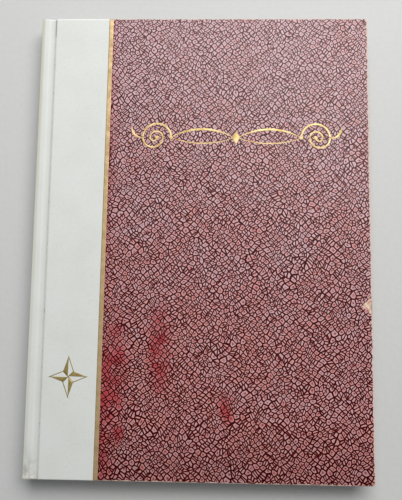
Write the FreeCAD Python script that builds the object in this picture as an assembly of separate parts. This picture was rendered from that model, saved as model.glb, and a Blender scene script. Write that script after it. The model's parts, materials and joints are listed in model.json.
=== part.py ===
"""Stamp stock album, closed and lying on its back cover.

A flat-backed case of three boards, quarter bound: pale cloth runs over the spine and onto both covers,
grained paper covers the rest, and a stamped foil line hides the seam. Inside is one sewn section of card
leaves with rows of glassine pockets, a glassine interleaf between each two leaves, and a flyleaf at each end.

Millimetres, +X to the fore-edge, +Y to the head, +Z up. The origin is the middle of the footprint, on the
surface that the album lies on.
"""

import FreeCAD
import Part

import math
import os

# Outline of the closed case
ALBUM_WIDTH = 225.0
ALBUM_HEIGHT = 310.0

# Case boards and what covers them
BOARD_THICKNESS = 2.2
SPINE_BOARD_THICKNESS = 2.0
COVERING_THICKNESS = 0.25
TURN_IN = 15.0
CORNER_RADIUS = 2.0
EDGE_RADIUS = 0.5
PASTEDOWN_THICKNESS = 0.15
PASTEDOWN_MARGIN = 4.0
SPINE_LINING_THICKNESS = 0.2
SPINE_LINING_MARGIN = 1.0
LINING_GAP = 0.5

# Cloth joint between the spine and each cover, measured from the spine's outer face
SPINE_CORNER_RADIUS = 1.0
GROOVE_START = 7.3
GROOVE_END = 10.4
GROOVE_DEPTH = 1.2
GROOVE_LIP_RADIUS = 1.5
GROOVE_FLOOR_RADIUS = 0.9
BOARD_EDGE = 11.0

# Foil work on the front, and its lines on both covers
SEAM = 47.9
FOIL_LINE_WIDTH = 3.0
FOIL_DEPTH = 0.05
STAR_CENTRE_FROM_SPINE = 27.4
STAR_CENTRE_FROM_TAIL = 65.0
STAR_HALF_WIDTH = 12.7
STAR_HALF_HEIGHT = 13.6
STAR_WAIST = 3.7
STAR_OUTLINE = 0.6
FLOURISH_CENTRE_FROM_SPINE = 135.5
FLOURISH_CENTRE_FROM_TAIL = 225.5
FLOURISH_LOZENGE_WIDTH = 6.0
FLOURISH_LOZENGE_HEIGHT = 9.0
FLOURISH_SWASH_ROOT = 0.5
FLOURISH_SWASH_END = 44.0
FLOURISH_UPPER_SAG = 5.0
FLOURISH_LOWER_SAG = 3.6
FLOURISH_STROKE = 1.7
FLOURISH_HAIRLINE = 0.9
FLOURISH_SCROLL_RADII = (9.6, 6.8, 4.3, 2.3)
FLOURISH_SCROLL_STROKE = 1.3
FLOURISH_DOT_RADIUS = 1.4
FLOURISH_KNOT_RADIUS = 1.2
FLOURISH_TAIL_REACH = 7.5
FLOURISH_TAIL_RISE = 8.0
FLOURISH_TAIL_SAG = 2.0

# Leaves of the sewn section
LEAF_COUNT = 8
LEAF_SQUARE = 4.0
CARD_THICKNESS = 0.7
CARD_START = 14.0
FOLD_AXIS = 3.0
FOLD_CLEARANCE = 0.4
GUARD_THICKNESS = 0.3
GUARD_FLAP_THICKNESS = 0.15
GUARD_OVERLAP = 8.0
GUARD_SETBACK = 1.0
STUB_END = 11.0
INTERLEAF_THICKNESS = 0.12
INTERLEAF_SETBACK = 1.5
FLYLEAF_THICKNESS = 0.16
LAYER_GAP = 0.08

# Glassine pockets on both faces of each leaf
POCKET_ROWS = 9
POCKET_FILM = 0.12
POCKET_ROOM = 0.1
POCKET_HEIGHT = 20.0
POCKET_SEAM = 2.5
POCKET_SIDE_MARGIN = 6.0
POCKET_GUARD_GAP = 4.0
POCKET_END_MARGIN = 10.0

# Sewing through the middle fold
THREAD_RADIUS = 0.25
STITCH_COUNT = 5
STITCH_SHARE = 0.75
SEWING_MARGIN = 20.0

# Sizes that follow from the ones above
HALF_HEIGHT = ALBUM_HEIGHT / 2
SHELL_THICKNESS = BOARD_THICKNESS + 2 * COVERING_THICKNESS
COVER_THICKNESS = SHELL_THICKNESS + PASTEDOWN_THICKNESS
POCKET_THICKNESS = POCKET_FILM + POCKET_ROOM
LEAF_THICKNESS = CARD_THICKNESS + 2 * POCKET_THICKNESS
LAYER_COUNT = LEAF_COUNT + (LEAF_COUNT - 1) + 2
SECTION_THICKNESS = (
    LEAF_COUNT * LEAF_THICKNESS
    + (LEAF_COUNT - 1) * INTERLEAF_THICKNESS
    + 2 * FLYLEAF_THICKNESS
    + (LAYER_COUNT + 1) * LAYER_GAP
)
ALBUM_THICKNESS = 2 * COVER_THICKNESS + SECTION_THICKNESS
MIDDLE = ALBUM_THICKNESS / 2
LEAF_END = ALBUM_WIDTH - LEAF_SQUARE
LEAF_HALF_HEIGHT = HALF_HEIGHT - LEAF_SQUARE
BIND_EDGE = FOLD_AXIS + FOLD_CLEARANCE

SAME_POINT = 1e-6
OUT_FOLDER = "parts"


def place(u, y, z):
    """A point u from the spine's outer face, y from the middle of the height, z above the table."""
    return FreeCAD.Vector(u - ALBUM_WIDTH / 2, y, z)


def slab(u0, u1, y0, y1, z0, z1):
    """A box between two corners."""
    box = Part.makeBox(u1 - u0, y1 - y0, z1 - z0)
    box.translate(place(u0, y0, z0))
    return box


def sheet(u0, u1, half_height, z0, thickness):
    """A box that is centred on the album's height."""
    return slab(u0, u1, -half_height, half_height, z0, z0 + thickness)


def plate(face_points, z, thickness):
    """A flat polygon given as (u, y) points, raised from z by its thickness."""
    points = [place(u, y, z) for u, y in face_points]
    wire = Part.makePolygon(points + points[:1])
    return Part.Face(wire).extrude(FreeCAD.Vector(0, 0, thickness))


def mirrored(shape):
    """The same piece on the back cover."""
    return shape.mirror(FreeCAD.Vector(0, 0, MIDDLE), FreeCAD.Vector(0, 0, 1))


def edges_where(shape, test):
    """The edges whose middle point passes a test."""
    return [e for e in shape.Edges if test(e.CenterOfMass)]


# Case
def rounded_cover(inset, z0, z1, corner_radius, edge_radius):
    """A cover-shaped block with rounded fore-edge corners and softened rims, open-ended at the joint."""
    fore_edge = ALBUM_WIDTH - inset
    half_height = HALF_HEIGHT - inset
    block = slab(BOARD_EDGE, fore_edge, -half_height, half_height, z0, z1)
    x_fore = place(fore_edge, 0, 0).x
    x_joint = place(BOARD_EDGE, 0, 0).x
    small = EDGE_RADIUS / 10
    upright = edges_where(
        block,
        lambda c: abs(c.x - x_fore) < small and abs(abs(c.y) - half_height) < small,
    )
    block = block.makeFillet(corner_radius, upright)
    rims = edges_where(
        block,
        lambda c: min(abs(c.z - z0), abs(c.z - z1)) < small and abs(c.x - x_joint) > small,
    )
    return block.makeFillet(edge_radius, rims)


def front_board():
    """Grey board of the front cover."""
    top = ALBUM_THICKNESS - COVERING_THICKNESS
    return rounded_cover(
        COVERING_THICKNESS,
        top - BOARD_THICKNESS,
        top,
        CORNER_RADIUS - COVERING_THICKNESS,
        EDGE_RADIUS - COVERING_THICKNESS,
    )


def front_shell():
    """Cloth and paper over the front board, turned in over its head, tail and fore-edge."""
    bottom = ALBUM_THICKNESS - SHELL_THICKNESS
    outside = rounded_cover(0, bottom, ALBUM_THICKNESS, CORNER_RADIUS, EDGE_RADIUS)
    window = slab(
        BOARD_EDGE,
        ALBUM_WIDTH - TURN_IN,
        TURN_IN - HALF_HEIGHT,
        HALF_HEIGHT - TURN_IN,
        bottom,
        bottom + COVERING_THICKNESS,
    )
    return outside.cut(front_board()).cut(window)


def front_half(shell, u0, u1):
    """The part of the covering between two distances from the spine."""
    return shell.common(slab(u0, u1, -HALF_HEIGHT, HALF_HEIGHT, 0, ALBUM_THICKNESS))


def foil_line():
    """Foil line over the seam of cloth and paper, stamped in flush."""
    return sheet(
        SEAM - FOIL_LINE_WIDTH / 2,
        SEAM + FOIL_LINE_WIDTH / 2,
        HALF_HEIGHT - EDGE_RADIUS,
        ALBUM_THICKNESS - FOIL_DEPTH,
        FOIL_DEPTH,
    )


def star():
    """Four-pointed compass star: one half of each point is filled, and the other half is an outline."""
    centre = (STAR_CENTRE_FROM_SPINE, STAR_CENTRE_FROM_TAIL - HALF_HEIGHT)
    z = ALBUM_THICKNESS - FOIL_DEPTH
    tips = [
        (STAR_HALF_WIDTH, 0),
        (0, STAR_HALF_HEIGHT),
        (-STAR_HALF_WIDTH, 0),
        (0, -STAR_HALF_HEIGHT),
    ]
    waists = [
        (STAR_WAIST, STAR_WAIST),
        (-STAR_WAIST, STAR_WAIST),
        (-STAR_WAIST, -STAR_WAIST),
        (STAR_WAIST, -STAR_WAIST),
    ]
    outline = [point for pair in zip(tips, waists) for point in pair]
    shape = plate([(centre[0] + x, centre[1] + y) for x, y in outline], z, FOIL_DEPTH)
    for tip, waist in zip(tips, waists[-1:] + waists[:-1]):
        open_half = shrunken_triangle([(0, 0), tip, waist], STAR_OUTLINE)
        window = [(centre[0] + x, centre[1] + y) for x, y in open_half]
        shape = shape.cut(plate(window, z, FOIL_DEPTH))
    return shape


def shrunken_triangle(corners, margin):
    """A triangle whose sides are moved in by a margin, by scaling it about its incentre."""
    sides = [math.dist(corners[1], corners[2]), math.dist(corners[0], corners[2])]
    sides.append(math.dist(corners[0], corners[1]))
    around = sum(sides)
    incentre = [sum(s * c[i] for s, c in zip(sides, corners)) / around for i in (0, 1)]
    half = around / 2
    inradius = math.sqrt(math.prod([half - s for s in sides]) / half)
    keep = 1 - margin / inradius
    return [tuple(m + keep * (c[i] - m) for i, m in enumerate(incentre)) for c in corners]


def foil_from(edges):
    """Foil stamped flush into the front cover, inside a closed run of edges."""
    face = Part.Face(Part.Wire(Part.__sortEdges__(edges)))
    return face.extrude(FreeCAD.Vector(0, 0, FOIL_DEPTH))


def foil_arc(*points):
    """An arc through three (u, y) points at the bottom of the foil."""
    z = ALBUM_THICKNESS - FOIL_DEPTH
    return Part.Arc(*[place(u, y, z) for u, y in points]).toShape()


def crescent(start, end, sag, stroke):
    """A pen stroke between two arcs that share their ends. It bulges to the left of start to end by sag."""
    along = unit(start, end)
    middle = ((start[0] + end[0]) / 2, (start[1] + end[1]) / 2)
    crowns = [moved(middle, right_of(along), -sag), moved(middle, right_of(along), -sag - stroke)]
    return foil_from([foil_arc(start, crown, end) for crown in crowns])


def half_ring(centre, radius, stroke, up):
    """Half of a ring, above or below its centre."""
    z = ALBUM_THICKNESS - FOIL_DEPTH
    arcs = []
    rims = []
    for size in (radius + stroke / 2, radius - stroke / 2):
        left, right = (centre[0] - size, centre[1]), (centre[0] + size, centre[1])
        arcs.append(foil_arc(left, (centre[0], centre[1] + up * size), right))
        rims.append((left, right))
    ends = [Part.makeLine(place(*outer, z), place(*inner, z)) for outer, inner in zip(*rims)]
    return foil_from(arcs + ends)


def flourish():
    """Plain penman's flourish: a lozenge between two mirrored pairs of swashes that end in scrolls."""
    centre = (FLOURISH_CENTRE_FROM_SPINE, FLOURISH_CENTRE_FROM_TAIL - HALF_HEIGHT)
    z = ALBUM_THICKNESS - FOIL_DEPTH
    half_w = FLOURISH_LOZENGE_WIDTH / 2
    half_h = FLOURISH_LOZENGE_HEIGHT / 2
    corners = [(half_w, 0), (0, half_h), (-half_w, 0), (0, -half_h)]
    lozenge = plate([moved(centre, corner, 1) for corner in corners], z, FOIL_DEPTH)
    scroll = right_scroll(centre)
    left_scroll = scroll.mirror(place(*centre, z), FreeCAD.Vector(1, 0, 0))
    return lozenge.fuse([scroll, left_scroll]).removeSplitter()


def right_scroll(centre):
    """The right half of the flourish: two swashes, a scroll of shrinking half rings, two dots and a tail."""
    start = moved(centre, (1, 0), FLOURISH_SWASH_ROOT * FLOURISH_LOZENGE_WIDTH / 2)
    end = moved(centre, (1, 0), FLOURISH_SWASH_END)
    shape = crescent(start, end, FLOURISH_UPPER_SAG, FLOURISH_STROKE)
    shape = shape.fuse(crescent(start, end, -FLOURISH_LOWER_SAG, -FLOURISH_HAIRLINE))
    here = end
    up = 1
    for radius in FLOURISH_SCROLL_RADII:
        middle = moved(here, (1, 0), up * radius)
        shape = shape.fuse(half_ring(middle, radius, FLOURISH_SCROLL_STROKE, up))
        here = moved(middle, (1, 0), up * radius)
        up = -up
    for middle, radius in ((end, FLOURISH_KNOT_RADIUS), (here, FLOURISH_DOT_RADIUS)):
        base = place(*middle, ALBUM_THICKNESS - FOIL_DEPTH)
        shape = shape.fuse(Part.makeCylinder(radius, FOIL_DEPTH, base))
    rim = moved(end, (1, 0), 2 * FLOURISH_SCROLL_RADII[0])
    tip = (rim[0] + FLOURISH_TAIL_REACH, rim[1] + FLOURISH_TAIL_RISE)
    shape = shape.fuse(crescent(rim, tip, -FLOURISH_TAIL_SAG, -FLOURISH_STROKE))
    return shape


def surface_edges(outline, radii, depth):
    """Edges of a path of (u, z) points with rounded corners, moved right by a depth, and its two ends."""
    first_normal = right_of(unit(outline[0], outline[1]))
    last_normal = right_of(unit(outline[-2], outline[-1]))
    first = moved(outline[0], first_normal, depth)
    last = moved(outline[-1], last_normal, depth)
    edges = []
    here = first
    for before, corner, after, radius in zip(outline, outline[1:], outline[2:], radii):
        into = unit(before, corner)
        out = unit(corner, after)
        turn = math.atan2(into[0] * out[1] - into[1] * out[0], into[0] * out[0] + into[1] * out[1])
        side = math.copysign(1, turn)
        start = moved(corner, into, -radius * math.tan(abs(turn) / 2))
        centre = moved(start, right_of(into), -side * radius)
        headings = (into, unit((0, 0), moved(into, out, 1)), out)
        bend = [moved(centre, right_of(heading), side * radius + depth) for heading in headings]
        edges += straight(here, bend[0])
        edges.append(Part.Arc(*[end_on(point) for point in bend]).toShape())
        here = bend[-1]
    return edges + straight(here, last), first, last


def ribbon(outline, radii, thickness):
    """A sheet of cloth as tall as the album, whose outer surface follows (u, z) points seen end on."""
    outer, outer_first, outer_last = surface_edges(outline, radii, 0)
    inner, inner_first, inner_last = surface_edges(outline, radii, thickness)
    rims = straight(outer_first, inner_first) + straight(outer_last, inner_last)
    face = Part.Face(Part.Wire(Part.__sortEdges__(outer + inner + rims)))
    return face.extrude(FreeCAD.Vector(0, ALBUM_HEIGHT, 0))


def end_on(point):
    """The place of a (u, z) point at the tail end of the album."""
    return place(point[0], -HALF_HEIGHT, point[1])


def straight(start, end):
    """The line between two (u, z) points, or nothing where they are the same point."""
    if math.dist(start, end) < SAME_POINT:
        return []
    return [Part.makeLine(end_on(start), end_on(end))]


def moved(point, direction, distance):
    """A point moved along a direction."""
    return (point[0] + direction[0] * distance, point[1] + direction[1] * distance)


def unit(start, end):
    """The direction from one point to another."""
    length = math.dist(start, end)
    return ((end[0] - start[0]) / length, (end[1] - start[1]) / length)


def right_of(heading):
    """The direction to the right of a heading."""
    return (heading[1], -heading[0])


def front_joint_cloth():
    """Cloth from the spine's corner, over the shoulder, down into the groove and up to the board."""
    top = ALBUM_THICKNESS
    groove_middle = (GROOVE_START + GROOVE_END) / 2
    outline = [
        (0, top - SPINE_CORNER_RADIUS),
        (0, top),
        (GROOVE_START, top),
        (groove_middle, top - GROOVE_DEPTH),
        (GROOVE_END, top),
        (BOARD_EDGE, top),
    ]
    radii = [SPINE_CORNER_RADIUS, GROOVE_LIP_RADIUS, GROOVE_FLOOR_RADIUS, GROOVE_LIP_RADIUS]
    return ribbon(outline, radii, COVERING_THICKNESS)


def front_pastedown():
    """Endpaper glued inside the front cover, down to the board and over the turn-ins."""
    bottom = ALBUM_THICKNESS - COVER_THICKNESS
    half_height = HALF_HEIGHT - PASTEDOWN_MARGIN
    paper = sheet(BOARD_EDGE, ALBUM_WIDTH - PASTEDOWN_MARGIN, half_height, bottom, PASTEDOWN_THICKNESS)
    filled = sheet(
        BOARD_EDGE,
        ALBUM_WIDTH - TURN_IN,
        HALF_HEIGHT - TURN_IN,
        bottom + PASTEDOWN_THICKNESS,
        COVERING_THICKNESS,
    )
    return paper.fuse(filled).removeSplitter()


def spine_board():
    """Stiff strip in the flat back."""
    return slab(
        COVERING_THICKNESS,
        COVERING_THICKNESS + SPINE_BOARD_THICKNESS,
        COVERING_THICKNESS - HALF_HEIGHT,
        HALF_HEIGHT - COVERING_THICKNESS,
        SPINE_CORNER_RADIUS,
        ALBUM_THICKNESS - SPINE_CORNER_RADIUS,
    )


def spine_cloth():
    """Cloth over the flat back, turned in over the spine board's head and tail."""
    inner = COVERING_THICKNESS + SPINE_BOARD_THICKNESS
    low, high = SPINE_CORNER_RADIUS, ALBUM_THICKNESS - SPINE_CORNER_RADIUS
    outside = slab(0, inner + COVERING_THICKNESS, -HALF_HEIGHT, HALF_HEIGHT, low, high)
    window = slab(inner, inner + COVERING_THICKNESS, TURN_IN - HALF_HEIGHT, HALF_HEIGHT - TURN_IN, low, high)
    return outside.cut(spine_board()).cut(window)


def spine_lining():
    """Kraft strip glued inside the spine board, between the turn-ins."""
    inner = COVERING_THICKNESS + SPINE_BOARD_THICKNESS
    half_height = HALF_HEIGHT - TURN_IN - LINING_GAP
    return slab(
        inner,
        inner + SPINE_LINING_THICKNESS,
        -half_height,
        half_height,
        SPINE_CORNER_RADIUS + SPINE_LINING_MARGIN,
        ALBUM_THICKNESS - SPINE_CORNER_RADIUS - SPINE_LINING_MARGIN,
    )


def case_parts():
    """Every piece of the case, by name."""
    shell = front_shell()
    line = foil_line()
    star_foil = star()
    flourish_foil = flourish()
    cloth = front_half(shell, BOARD_EDGE, SEAM).cut(line)
    paper = front_half(shell, SEAM, ALBUM_WIDTH).cut(line)
    board = front_board()
    joint = front_joint_cloth()
    pastedown = front_pastedown()
    return {
        "front_board": board,
        "front_cloth": cloth.cut(star_foil),
        "front_paper": paper.cut(flourish_foil),
        "front_foil_line": line,
        "front_star": star_foil,
        "front_flourish": flourish_foil,
        "front_joint_cloth": joint,
        "front_pastedown": pastedown,
        "back_board": mirrored(board),
        "back_cloth": mirrored(cloth),
        "back_paper": mirrored(paper),
        "back_foil_line": mirrored(line),
        "back_joint_cloth": mirrored(joint),
        "back_pastedown": mirrored(pastedown),
        "spine_board": spine_board(),
        "spine_cloth": spine_cloth(),
        "spine_lining": spine_lining(),
    }


# Sewn section
def section_layers():
    """(name, thickness) of each sheet of the section, from the back flyleaf up to the front one."""
    layers = [("back_flyleaf", FLYLEAF_THICKNESS)]
    for number in range(LEAF_COUNT, 0, -1):
        layers.append((f"leaf_{number}", LEAF_THICKNESS))
        if number > 1:
            layers.append((f"interleaf_{number - 1}", INTERLEAF_THICKNESS))
    return layers + [("front_flyleaf", FLYLEAF_THICKNESS)]


def leaf_card(z):
    """Stiff card of a leaf whose middle is at z."""
    return sheet(CARD_START, LEAF_END, LEAF_HALF_HEIGHT, z - CARD_THICKNESS / 2, CARD_THICKNESS)


def leaf_guard(z):
    """Linen guard: a tongue that runs into the fold, and two flaps glued over the card's edge."""
    half_height = LEAF_HALF_HEIGHT - GUARD_SETBACK
    tongue = sheet(BIND_EDGE, CARD_START, half_height, z - GUARD_THICKNESS / 2, GUARD_THICKNESS)
    flap_thickness = CARD_THICKNESS + 2 * GUARD_FLAP_THICKNESS
    start = CARD_START - flap_thickness / 2
    flaps = sheet(start, CARD_START + GUARD_OVERLAP, half_height, z - flap_thickness / 2, flap_thickness)
    return tongue.fuse(flaps.cut(leaf_card(z))).removeSplitter()


def leaf_stubs(z):
    """Two card stubs that pack the fold to the thickness of a filled leaf, one on each face of the guard."""
    half_height = LEAF_HALF_HEIGHT - GUARD_SETBACK
    thickness = (LEAF_THICKNESS - GUARD_THICKNESS) / 2
    under = sheet(BIND_EDGE, STUB_END, half_height, z - LEAF_THICKNESS / 2, thickness)
    over = sheet(BIND_EDGE, STUB_END, half_height, z + GUARD_THICKNESS / 2, thickness)
    return Part.makeCompound([under, over])


def pocket(u0, u1, y, z):
    """A glassine strip glued to the card along its foot and ends, and open towards the head."""
    strip = slab(u0, u1, y, y + POCKET_HEIGHT, z, z + POCKET_THICKNESS)
    room = slab(
        u0 + POCKET_SEAM,
        u1 - POCKET_SEAM,
        y + POCKET_SEAM,
        y + POCKET_HEIGHT,
        z,
        z + POCKET_ROOM,
    )
    return strip.cut(room)


def leaf_pockets(z):
    """Rows of pockets on both faces of a leaf."""
    u0 = CARD_START + GUARD_OVERLAP + POCKET_GUARD_GAP
    u1 = LEAF_END - POCKET_SIDE_MARGIN
    low = POCKET_END_MARGIN - LEAF_HALF_HEIGHT
    pitch = (2 * (LEAF_HALF_HEIGHT - POCKET_END_MARGIN)) / POCKET_ROWS
    front = [pocket(u0, u1, low + row * pitch, z + CARD_THICKNESS / 2) for row in range(POCKET_ROWS)]
    turn_over = (FreeCAD.Vector(0, 0, z), FreeCAD.Vector(0, 0, 1))
    return Part.makeCompound(front + [p.mirror(*turn_over) for p in front])


def sewing_thread():
    """Long stitches along the middle fold."""
    length = 2 * (LEAF_HALF_HEIGHT - SEWING_MARGIN)
    pitch = length / STITCH_COUNT
    stitch = pitch * STITCH_SHARE
    stitches = []
    for number in range(STITCH_COUNT):
        y = -length / 2 + (number + (1 - STITCH_SHARE) / 2) * pitch
        start = place(FOLD_AXIS, y, MIDDLE)
        stitches.append(Part.makeCylinder(THREAD_RADIUS, stitch, start, FreeCAD.Vector(0, 1, 0)))
    return Part.makeCompound(stitches)


def section_parts():
    """Every piece of the sewn section, by name."""
    parts = {"sewing_thread": sewing_thread()}
    z = COVER_THICKNESS + LAYER_GAP
    for name, thickness in section_layers():
        if name.startswith("leaf_"):
            middle = z + thickness / 2
            parts[name + "_card"] = leaf_card(middle)
            parts[name + "_guard"] = leaf_guard(middle)
            parts[name + "_stubs"] = leaf_stubs(middle)
            parts[name + "_pockets"] = leaf_pockets(middle)
        else:
            setback = INTERLEAF_SETBACK if name.startswith("interleaf") else 0
            parts[name] = sheet(BIND_EDGE, LEAF_END - setback, LEAF_HALF_HEIGHT - setback, z, thickness)
        z += thickness + LAYER_GAP
    return parts


def main():
    os.makedirs(OUT_FOLDER, exist_ok=True)
    parts = {**case_parts(), **section_parts()}
    for name, shape in parts.items():
        shape.exportStep(os.path.join(OUT_FOLDER, name + ".step"))
    print(f"{len(parts)} nodes, album {ALBUM_WIDTH:.1f} x {ALBUM_HEIGHT:.1f} x {ALBUM_THICKNESS:.2f} mm")
    print(f"fold axis at {place(FOLD_AXIS, 0, MIDDLE)}")
    print(f"corner axis at {place(SPINE_CORNER_RADIUS, 0, SPINE_CORNER_RADIUS)}")


main()
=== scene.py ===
# %% [markdown]
# # A quarter-bound stamp album
# The album lies shut on a table, as in the photograph: a pale cloth spine, boards in red crackle-grained
# paper, a gold line over the seam, a gold star and a gold flourish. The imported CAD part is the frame. This
# lesson dresses it: it lays a cloth skin and a paper skin over the boards, stamps the foil on them, and
# gives every sheet inside a finish of its own.

import json
import math
from functools import partial

import bpy
import numpy as np
from mathutils import Matrix, Vector


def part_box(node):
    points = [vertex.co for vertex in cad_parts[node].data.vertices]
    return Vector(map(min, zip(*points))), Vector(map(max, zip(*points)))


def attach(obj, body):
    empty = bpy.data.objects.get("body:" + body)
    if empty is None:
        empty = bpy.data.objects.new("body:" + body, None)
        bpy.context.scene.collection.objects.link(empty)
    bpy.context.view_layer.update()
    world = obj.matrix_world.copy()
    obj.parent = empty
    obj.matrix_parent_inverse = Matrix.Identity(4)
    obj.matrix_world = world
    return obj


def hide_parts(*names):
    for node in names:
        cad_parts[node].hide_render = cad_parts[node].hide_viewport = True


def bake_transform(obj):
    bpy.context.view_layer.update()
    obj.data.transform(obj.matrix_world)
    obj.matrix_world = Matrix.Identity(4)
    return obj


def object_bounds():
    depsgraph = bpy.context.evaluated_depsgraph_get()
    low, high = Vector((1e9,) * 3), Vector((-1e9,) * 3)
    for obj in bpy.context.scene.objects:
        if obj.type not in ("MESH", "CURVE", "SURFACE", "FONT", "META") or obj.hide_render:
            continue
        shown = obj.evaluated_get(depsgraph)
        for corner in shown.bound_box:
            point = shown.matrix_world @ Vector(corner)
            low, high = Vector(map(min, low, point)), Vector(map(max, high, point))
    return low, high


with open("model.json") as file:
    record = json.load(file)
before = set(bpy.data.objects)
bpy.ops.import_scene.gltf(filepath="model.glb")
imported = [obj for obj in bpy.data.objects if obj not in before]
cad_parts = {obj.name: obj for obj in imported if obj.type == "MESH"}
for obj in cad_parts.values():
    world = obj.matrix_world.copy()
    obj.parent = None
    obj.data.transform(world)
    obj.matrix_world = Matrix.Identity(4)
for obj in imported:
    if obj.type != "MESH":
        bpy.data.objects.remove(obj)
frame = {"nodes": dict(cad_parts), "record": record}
cad_low, cad_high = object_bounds()
print("CAD box in mm", [round(v * 1000, 2) for v in cad_low], [round(v * 1000, 2) for v in cad_high])

# %% [markdown]
# ## Sizes
# Every piece is worked out in millimetres and turned into metres when its mesh is made. The sizes of the
# case are read from the frame, so the skins follow the boards if the album is made larger. What the frame
# has no box for is given here, such as the groove, the turn-in that shows and the softened rims.

# %% Sizes read from the frame
MM = 0.001


def box_mm(node):
    """Lowest and highest corner of a CAD node, in millimetres."""
    low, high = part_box(node)
    return np.array(low) / MM, np.array(high) / MM


HALF_WIDTH = cad_high[0] / MM
HALF_HEIGHT = cad_high[1] / MM
TOP = cad_high[2] / MM
SPINE_X = -HALF_WIDTH
BOARD_X = box_mm("front_board")[0][0]
SEAM_X = box_mm("front_paper")[0][0]
COVER_DEPTH = TOP - box_mm("front_paper")[0][2]
SPINE_DEPTH = box_mm("spine_cloth")[1][0] - SPINE_X
SKIN = 0.25
RIM_RADIUS = 0.5
RIM_TIGHTER = 0.8
CORNER_RADIUS = 2.0
TURN_IN = 4.6


def rim_at(lift):
    """Radius of a softened rim some way below the surface: the outer radius less most of that way."""
    return RIM_RADIUS - RIM_TIGHTER * max(lift, 0.0)


print(f"album {2 * HALF_WIDTH:.1f} x {2 * HALF_HEIGHT:.1f} x {TOP:.2f} mm, cover {COVER_DEPTH:.2f} mm")

# %% [markdown]
# ## From arrays to meshes
# A surface here is always a grid: a profile carried along a path, so its points make an array of rows by
# columns. One function numbers the quads of any such grid, and another puts points and faces into a mesh.
# Both take whole arrays. A skin can also keep the place of each point on the flat sheet that it was cut
# from, so that a weave follows the cloth round its corners.

# %% Grid surfaces
def grid_faces(rows, columns, loop=False):
    """Corner numbers of the quads of a grid of points; loop joins the last column to the first."""
    row = np.arange(rows - 1)[:, None] * columns
    column = np.arange(columns if loop else columns - 1)[None, :]
    here = row + column
    beside = row + (column + 1) % columns
    return np.stack([here, here + columns, beside + columns, beside], axis=-1).reshape(-1, 4)


def tube_faces(points):
    """Quads of a tube, given as an array of rings of points, with a flat face over each end."""
    rows, columns = points.shape[:2]
    ring = np.arange(columns)
    ends = [ring.tolist(), (ring[::-1] + (rows - 1) * columns).tolist()]
    return grid_faces(rows, columns, loop=True).tolist() + ends


def make_piece(name, points, faces, material, sheet=None):
    """A smooth-shaded object from points in mm and faces, with places on the flat sheet if it has them."""
    mesh = bpy.data.meshes.new(name)
    mesh.from_pydata((np.asarray(points, float).reshape(-1, 3) * MM).tolist(), [], faces)
    mesh.polygons.foreach_set("use_smooth", np.ones(len(mesh.polygons), bool))
    if sheet is not None:
        places = mesh.attributes.new("sheet", "FLOAT_VECTOR", "POINT")
        places.data.foreach_set("vector", np.asarray(sheet, np.float32).ravel())
    mesh.materials.append(material)
    mesh.update()
    piece = bpy.data.objects.new(name, mesh)
    bpy.context.scene.collection.objects.link(piece)
    return piece


def length_run(points):
    """Distance run along a line of points, from 0 at the first."""
    return np.r_[0, np.cumsum(np.linalg.norm(np.diff(points, axis=0), axis=1))]


def headings(points):
    """Direction of travel at each point of a line, of length 1."""
    heading = np.gradient(points, axis=0)
    return heading / np.linalg.norm(heading, axis=1)[:, None]


def smoothstep(low, high, value):
    """0 below low, 1 above high, and an even S-curve between them."""
    t = np.clip((value - low) / (high - low), 0, 1)
    return t * t * (3 - 2 * t)


print("a grid of 3 x 4 points has", len(grid_faces(3, 4)), "quads")

# %% [markdown]
# ## Colours and nodes
# Colours are written as the sRGB values that a colour picker shows, and one function makes them linear for
# the shader. One more function adds a node, sets it up and links its inputs. Each material gets it bound
# to its own node tree, under the name add, so that it reads as a recipe. Every pattern is scaled from a
# size in millimetres, on coordinates of the object or the flat sheet, so it moves with its piece.

# %% Colour and node helpers
SMOOTH = {"interpolation_type": "SMOOTHSTEP"}
COLOUR = {"out": 2, "data_type": "RGBA"}


def linear(colour):
    """An sRGB hex colour as linear red, green, blue and alpha."""
    srgb = np.array([int(colour[i : i + 2], 16) / 255 for i in (1, 3, 5)])
    rgb = np.where(srgb <= 0.04045, srgb / 12.92, ((srgb + 0.055) / 1.055) ** 2.4)
    return (*rgb.tolist(), 1.0)


def set_inputs(node, inputs):
    """Sets the inputs of a node to values or hex colours, or links them from sockets of other nodes."""
    for name, value in inputs.items():
        if isinstance(value, bpy.types.NodeSocket):
            node.id_data.links.new(value, node.inputs[name])
        else:
            node.inputs[name].default_value = linear(value) if isinstance(value, str) else value


def add_node(tree, kind, inputs=None, out=0, **settings):
    """Adds a shader node with its settings, sets or links its inputs, and gives one output back."""
    node = tree.nodes.new("ShaderNode" + kind)
    for name, value in settings.items():
        setattr(node, name, value)
    set_inputs(node, inputs or {})
    return node.outputs[out]


def start_material(name):
    """An empty principled material, what adds nodes to it, its shader, and object coordinates in mm."""
    material = bpy.data.materials.new(name)
    material.use_nodes = True
    add = partial(add_node, material.node_tree)
    metres = add("TexCoord", out="Object")
    position = add("VectorMath", {0: metres, "Scale": 1 / MM}, operation="SCALE")
    return material, add, material.node_tree.nodes["Principled BSDF"], position


def blotches(add, place, size_mm, detail, low, high, least=0.0, most=1.0, rough=0.5):
    """A mask from noise of one size: least where the noise is under low, most where it is over high."""
    noise = add("TexNoise", {"Vector": place, "Scale": 1 / size_mm, "Detail": detail, "Roughness": rough})
    return add("MapRange", {0: noise, 1: low, 2: high, 3: least, 4: most}, **SMOOTH)


print("crackle red is", [round(v, 3) for v in linear("#a4484c")], "in linear light")

# %% [markdown]
# ## Crackle-grained paper
# The cover paper is embossed with a leather-like crackle: raised, mostly four-sided cells about 3 mm
# across, parted by dark sunken lines that run on across many cells. It could be drawn as two sets of wavy
# lines, but a Voronoi pattern with part of its randomness, turned by 45 degrees and bent by two noises,
# gives the same four-sided cells and long lines and also their odd sizes. As in real crackle, where a late
# crack stops at an earlier one, a line through the seed of half the cells splits them in two.

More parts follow.
